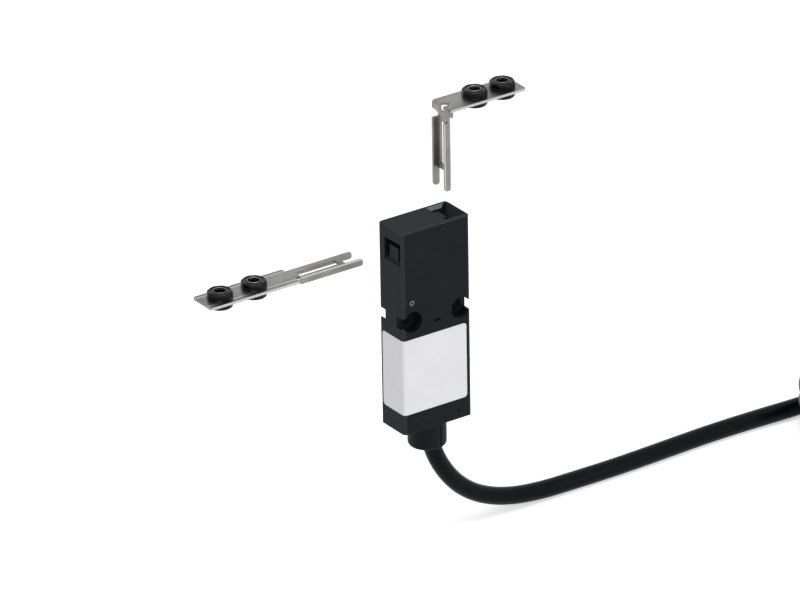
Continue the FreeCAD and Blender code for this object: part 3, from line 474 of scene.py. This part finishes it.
# ---- Tongues --------------------------------------------------------------------------------------
# Two keys stamped and folded from one-millimetre stainless sheet, with the rolling marks along the
# blank and every cut edge tumbled smooth. One is straight, the other bent at a right angle.

def rolled_steel(name, shade, rough, grain_axis, highlit_edges=(), highlight_shade=0.8, tints=None):
    """Stainless sheet: lines along the rolling direction, with cloudy gloss over a few millimetres.

    The listed edges get painted highlights, brighter than the faces: a point, the axis along it, two
    distances.
    tints are the dark and the light colour of another metal, in place of the grey shade.
    """
    material = bpy.data.materials.new(name)
    tree = node_tree(material)
    coords = tree.nodes.new("ShaderNodeTexCoord")
    shader = add_node(tree, "ShaderNodeBsdfPrincipled", Metallic=1.0)
    stretch = tree.nodes.new("ShaderNodeMapping")
    stretch.inputs["Scale"].default_value = [60.0 if axis == grain_axis else 2400.0 for axis in "XYZ"]
    lines = add_node(tree, "ShaderNodeTexNoise", Scale=1.0, Detail=4.0, Roughness=0.6)
    cloud = add_node(tree, "ShaderNodeTexNoise", Scale=260.0, Detail=3.0)
    colour = tree.nodes.new("ShaderNodeValToRGB")
    colour.color_ramp.elements[0].position = 0.25
    colour.color_ramp.elements[1].position = 0.75
    greys = ((shade * 0.78, shade * 0.77, shade * 0.76), (shade * 1.14, shade * 1.13, shade * 1.11))
    for stop, tint in zip(colour.color_ramp.elements, tints or greys):
        stop.color = (*tint, 1.0)
    patches = add_node(tree, "ShaderNodeTexNoise", Scale=75.0, Detail=2.0)
    patch_shade = add_node(tree, "ShaderNodeMapRange", From_Min=0.35, From_Max=0.65, To_Min=0.72, To_Max=1.28)
    patched = tree.nodes.new("ShaderNodeMix")
    patched.data_type = "RGBA"
    patched.blend_type = "MULTIPLY"
    patched.inputs["Factor"].default_value = 1.0
    rough_map = add_node(tree, "ShaderNodeMapRange", To_Min=rough - 0.07, To_Max=rough + 0.09)
    bump = add_node(tree, "ShaderNodeBump", Strength=0.16, Distance=0.00002)
    out = tree.nodes.new("ShaderNodeOutputMaterial")
    tree.links.new(coords.outputs["Object"], stretch.inputs["Vector"])
    tree.links.new(stretch.outputs["Vector"], lines.inputs["Vector"])
    tree.links.new(coords.outputs["Object"], cloud.inputs["Vector"])
    tree.links.new(lines.outputs["Fac"], colour.inputs["Fac"])
    tree.links.new(cloud.outputs["Fac"], rough_map.inputs["Value"])
    tree.links.new(coords.outputs["Object"], patches.inputs["Vector"])
    tree.links.new(patches.outputs["Fac"], patch_shade.inputs["Value"])
    tree.links.new(colour.outputs["Color"], patched.inputs["A"])
    tree.links.new(patch_shade.outputs["Result"], patched.inputs["B"])
    tone = paint_edge_highlights(tree, coords, patched.outputs["Result"], highlit_edges, (highlight_shade,) * 3)
    tree.links.new(tone, shader.inputs["Base Color"])
    tree.links.new(rough_map.outputs["Result"], shader.inputs["Roughness"])
    tree.links.new(lines.outputs["Fac"], bump.inputs["Height"])
    tree.links.new(bump.outputs["Normal"], shader.inputs["Normal"])
    tree.links.new(shader.outputs[0], out.inputs["Surface"])
    return material


# Steel look of the strip, which makes the painted highlight on the roof.
strip.data.materials.append(rolled_steel("roof_highlight_strip_look", 0.085, 0.42, "X"))
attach(strip, "switch")

tongue_edge = 0.16 * MM
plate_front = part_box("tongue_straight")[0].y
fork_middle = (plate_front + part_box("tongue_straight")[1].y) / 2
fork_half = 4.1 * MM
web_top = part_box("tongue_straight")[1].z
plate_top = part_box("tongue_angled")[1].z
fork_outer = 8.35 * MM
fork_inner = fork_outer - 2.6 * MM
half_sheet = 0.5 * MM
near, wide = 0.22 * MM, 0.5 * MM  # reach of a folded edge's shine, and where it has faded
cut_near, cut_wide = 0.42 * MM, 0.54 * MM
# Painted highlights: the folded and cut edges of the tongues are painted brighter than the faces, as if they
# caught the light.
steel_edge_highlights = {
    "tongue_straight": [((0.0, fork_middle - fork_half + 0.2 * MM, web_top), "X", near, wide),
                        ((0.0, fork_middle + fork_half, web_top), "X", near, wide),
                        ((0.0, plate_front, web_top - half_sheet), "X", cut_near, cut_wide)],
    "tongue_angled": [((0.0, plate_front, plate_top - half_sheet), "X", cut_near, cut_wide),
                      ((fork_outer, fork_middle - fork_half, 0.0), "Z", near, wide),
                      ((fork_inner, fork_middle - fork_half, 0.0), "Z", near, wide),
                      ((fork_inner, fork_middle + fork_half, 0.0), "Z", near, wide)],
}
for node, body, axis in (("tongue_straight", "straight_tongue", "X"),
                         ("tongue_angled", "angled_tongue", "Z")):
    part = merged_copy(node + "_sheet", node, tongue_edge, 3)
    part.data.materials.append(rolled_steel(node + "_look", 0.22, 0.34, axis, steel_edge_highlights[node], 0.46))
    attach(part, body)
    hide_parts(node)


# ---- Grommets and bushes --------------------------------------------------------------------------
# Each tongue floats on two rubber grommets, moulded with eight flats round the cap so that they can
# be gripped. A turned steel bush in each takes the screw.

def turned(name, centre, profile, flats=0, flat_depth=0.0, steps=96):
    """Profile of radius and height turned about an upright axis, with flats pressed in.

    profile rows are (radius, height, flat share); a share of 1 takes the full eight-sided outline.
    """
    profile = np.asarray(profile, float)
    angle = np.linspace(0.0, 2 * math.pi, steps, endpoint=False)
    outline = np.ones_like(angle)
    if flats:
        sector = 2 * math.pi / flats
        local = np.mod(angle, sector) - sector / 2
        flat = math.cos(sector / 2) / np.cos(local)
        outline = np.minimum(1.0, flat * (1.0 + flat_depth))
    radius = profile[:, None, 0] * (1.0 - profile[:, None, 2] * (1.0 - outline[None, :]))
    points = np.stack([centre[0] + radius * np.cos(angle), centre[1] + radius * np.sin(angle),
                       centre[2] + np.broadcast_to(profile[:, None, 1], radius.shape)], -1)
    piece = grid_piece(name, points, close_u=True, close_v=True)
    shell = bmesh.new()
    shell.from_mesh(piece.data)
    bmesh.ops.recalc_face_normals(shell, faces=shell.faces)
    shell.to_mesh(piece.data)
    shell.free()
    return piece


rubber_look = moulded_plastic("grommet_rubber_look", (0.0015, 0.0015, 0.0017), (0.003, 0.003, 0.0034),
                              0.2, 0.3 * MM, 0.10, 0.14)
# Painted shade and highlight on the bushes: the walls take a near-black steel, painted shade in the bores,
# and the end faces a light steel, a painted highlight ring.
bush_shade_look = rolled_steel("bush_shaded_steel_look", 0.012, 0.3, "Z")
bush_end_highlight_look = rolled_steel("bush_end_highlight_look", 0.2, 0.3, "X")
sheet = 1.0                       # the sizes of grommet and bush are in millimetres
cap, foot = 2.7, 2.3              # heights of cap and foot above and below the sheet
cap_radius, foot_radius, neck_radius = 4.75, 4.75, 3.3
bore = 2.52
flats, flat_depth = 8, 0.035
bush_outer, bush_inner = 2.5, 2.15
chamfer = 0.1                     # of the bush's ends


def grommet_profile():
    """Closed outline from the bore down round the foot, in to the neck, out to the cap and back in.

    The foot is round with rounded rims. The cap's wall takes the flats, which fade towards the ring
    on top, and a shallow step leads down to the collar round the bush.
    """
    top = foot + sheet
    crown = top + cap
    rim = cap_radius
    return [(bore, 0.12, 0), (bore + 0.1, 0.0, 0), (foot_radius - 0.55, 0.0, 0),
            (foot_radius - 0.2, 0.1, 0), (foot_radius, 0.4, 0), (foot_radius, foot - 0.25, 0),
            (foot_radius - 0.15, foot, 0), (neck_radius, foot, 0), (neck_radius, top, 0),
            (rim - 0.3, top, 1), (rim, top + 0.12, 1), (rim, crown - 0.75, 1),
            (rim - 0.12, crown - 0.35, 0.9), (rim - 0.45, crown - 0.08, 0.6), (rim - 0.85, crown, 0.3),
            (rim - 1.2, crown - 0.04, 0), (rim - 1.35, crown - 0.22, 0), (bore + 0.35, crown - 0.22, 0),
            (bore + 0.2, crown - 0.06, 0), (bore + 0.05, crown - 0.06, 0), (bore, crown - 0.2, 0)]


def bush_profile(height):
    """Closed outline of a plain tube with chamfered ends."""
    return [(bush_inner, 0.25, 0), (bush_inner + chamfer, 0.0, 0), (bush_outer - chamfer, 0.0, 0),
            (bush_outer, chamfer, 0), (bush_outer, height - chamfer, 0),
            (bush_outer - chamfer, height, 0), (bush_inner + chamfer, height, 0),
            (bush_inner, height - chamfer, 0)]


def in_metres(profile):
    """The profile's radius and height in metres."""
    return [(radius * MM, height * MM, share) for radius, height, share in profile]


for node, bushes, body in (("straight_grommets", "straight_bushes", "straight_tongue"),
                           ("angled_grommets", "angled_bushes", "angled_tongue")):
    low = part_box(node)[0]
    bush_low, bush_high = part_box(bushes)
    middle_y = (bush_low.y + bush_high.y) / 2
    for side, x in (("near", bush_low.x + bush_outer * MM), ("far", bush_high.x - bush_outer * MM)):
        ring = turned(f"{body}_grommet_{side}", (x, middle_y, low.z), in_metres(grommet_profile()), flats,
                      flat_depth)
        ring.data.materials.append(rubber_look)
        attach(ring, body)
        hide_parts(node)
        height = (bush_high.z - bush_low.z) / MM
        tube = turned(f"{body}_bush_{side}", (x, middle_y, bush_low.z), in_metres(bush_profile(height)))
        tube.data.materials.append(bush_shade_look)
        tube.data.materials.append(bush_end_highlight_look)
        # Faces that look up or down take the painted highlight, and the walls take the painted shade.
        normals = np.zeros(len(tube.data.polygons) * 3)
        tube.data.polygons.foreach_get("normal", normals)
        highlight_faces = (np.abs(normals.reshape(-1, 3)[:, 2]) > 0.6).astype(int)
        tube.data.polygons.foreach_set("material_index", highlight_faces)
        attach(tube, body)
        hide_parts(bushes)


# ---- Working parts --------------------------------------------------------------------------------
# Inside the head a moulded cam turns on a steel pin. In the body a steel plunger carries the contact
# bridges on their plastic carrier, between fixed blades on a plastic frame.

pin_look = rolled_steel("pin_steel_look", 0.16, 0.3, "Y")
spring_look = rolled_steel("spring_wire_look", 0.4, 0.3, "Z")
contact_look = rolled_steel("contact_strip_look", 0.5, 0.3, "X",
                            tints=((0.55, 0.33, 0.16), (0.72, 0.47, 0.24)))
tip_look = rolled_steel("silver_tip_look", 0.8, 0.22, "Z")
cam_look = moulded_plastic("cam_plastic_look", (0.006, 0.006, 0.007), (0.012, 0.012, 0.013), 0.4,
                           gloss=0.15)
bearing_look = moulded_plastic("bearing_plastic_look", (0.72, 0.70, 0.64), (0.80, 0.78, 0.72), 0.35,
                               gloss=0.5)
seal_look = moulded_plastic("seal_rubber_look", (0.012, 0.012, 0.012), (0.02, 0.02, 0.02), 0.5)
carrier_look = moulded_plastic("carrier_plastic_look", (0.50, 0.05, 0.03), (0.62, 0.08, 0.05), 0.42)
block_look = moulded_plastic("block_plastic_look", (0.38, 0.38, 0.36), (0.48, 0.48, 0.45), 0.45)
core_look = moulded_plastic("core_insulation_look", (0.05, 0.12, 0.32), (0.08, 0.17, 0.42), 0.35, gloss=0.5)
tie_look = moulded_plastic("tie_plastic_look", (0.01, 0.01, 0.01), (0.016, 0.016, 0.016), 0.35, gloss=0.25)
looks = {
    "head_pin": pin_look, "cam_pin": pin_look, "plunger": pin_look, "cam": cam_look,
    "cam_spring": spring_look, "return_spring": spring_look, "bridge_springs": spring_look,
    "plunger_bush": bearing_look, "plunger_seal": seal_look, "cable_bush": seal_look,
    "contact_carrier": carrier_look, "contact_block": block_look, "safety_bridge": contact_look,
    "signal_bridge": contact_look, "safety_blades": contact_look, "signal_blades": contact_look,
    "bridge_tips": tip_look, "fixed_tips": tip_look, "inner_wires": core_look, "coil_tie": tie_look,
}
for node, look in looks.items():
    dress(node, look)


# ---- Cable end ------------------------------------------------------------------------------------
# The four cores come out of the sheath side by side and fan out, each in its own colour, with the
# last few millimetres stripped to seven twisted copper strands.

def swept(name, lines, radius, sides=16):
    """Tubes round nearly level lines of points: at each, a circle across the way to its neighbours."""
    shell = bmesh.new()
    for line in lines:
        line = np.array(line, float)
        way = np.gradient(line, axis=0)
        way /= np.linalg.norm(way, axis=1, keepdims=True)
        across = np.cross(way, (0.0, 0.0, 1.0))
        across /= np.linalg.norm(across, axis=1, keepdims=True)
        upward = np.cross(across, way)
        turn = np.linspace(0.0, 2 * math.pi, sides, endpoint=False)[:, None]
        size = np.full((len(line), 1, 1), radius)
        size[[0, -1]] = radius * 0.02
        line[0], line[-1] = line[1], line[-2]
        rings = line[:, None] + size * (across[:, None] * np.cos(turn) + upward[:, None] * np.sin(turn))
        tube = grid_piece(name, rings, close_v=True)
        shell.from_mesh(tube.data)
        bpy.data.meshes.remove(tube.data)
    bmesh.ops.recalc_face_normals(shell, faces=shell.faces)
    piece = bpy.data.objects.new(name, bpy.data.meshes.new(name))
    shell.to_mesh(piece.data)
    shell.free()
    bpy.context.scene.collection.objects.link(piece)
    return piece


strand_look = rolled_steel("strand_copper_look", 0.6, 0.28, "X",
                           tints=((0.62, 0.27, 0.13), (0.86, 0.44, 0.25)))
sheath_end = np.array(tail[-1]) * MM
core_radius, strand_radius = 0.75 * MM, 0.13 * MM
core_spacing = 1.55 * MM
core_inside, core_reach = 1.5 * MM, 16.0 * MM   # hidden in the sheath, and out of it
core_fan = 0.12                                 # how far neighbouring cores spread on their way
core_sag = 0.35 * MM
strands_from, strands_to = 15.6 * MM, 21.9 * MM
strands_round = 6                               # about one in the middle
lay_radius, lay_length = 0.27 * MM, 9.0 * MM    # of their twist
core_colours = {"brown": (0.16, 0.06, 0.025), "blue": (0.03, 0.12, 0.42), "black": (0.012, 0.012, 0.013),
                "white": (0.62, 0.62, 0.60)}

heading = np.array([sheath_end[0] - tail[-2][0] * MM, sheath_end[1] - tail[-2][1] * MM, 0.0])
heading /= np.linalg.norm(heading)
across = np.array([-heading[1], heading[0], 0.0])
upright = np.array([0.0, 0.0, 1.0])
end_pieces = []
for index, (colour, shade) in enumerate(core_colours.items()):
    place = index - (len(core_colours) - 1) / 2
    start = sheath_end + across * place * core_spacing
    lean = heading + across * place * core_fan
    lean /= np.linalg.norm(lean)
    along = np.linspace(-core_inside, core_reach, 24)
    sag = core_sag * np.clip(along / core_reach, 0.0, 1.0) ** 2
    line = start + along[:, None] * lean - sag[:, None] * upright
    core = swept("core_" + colour, [line], core_radius)
    tint = np.array(shade)
    core.data.materials.append(moulded_plastic(f"core_{colour}_look", tuple(tint * 0.85), tuple(tint), 0.35,
                                               gloss=0.4))
    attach(core, "switch")
    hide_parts("cable_cores")
    reach = np.linspace(strands_from, strands_to, 20)
    side = np.cross(lean, upright)
    middle_line = start + reach[:, None] * lean - core_sag * upright
    wires = []
    for strand in range(strands_round + 1):
        turn = 2 * math.pi * (strand / strands_round + (reach - strands_from) / lay_length)
        radius = lay_radius * (strand < strands_round)
        wires.append(middle_line + radius * (np.cos(turn)[:, None] * side + np.sin(turn)[:, None] * upright))
    bundle = swept("strands_" + colour, wires, strand_radius, 10)
    bundle.data.materials.append(strand_look)
    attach(bundle, "switch")
    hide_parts("core_strands")
    end_pieces += [core.name, bundle.name]
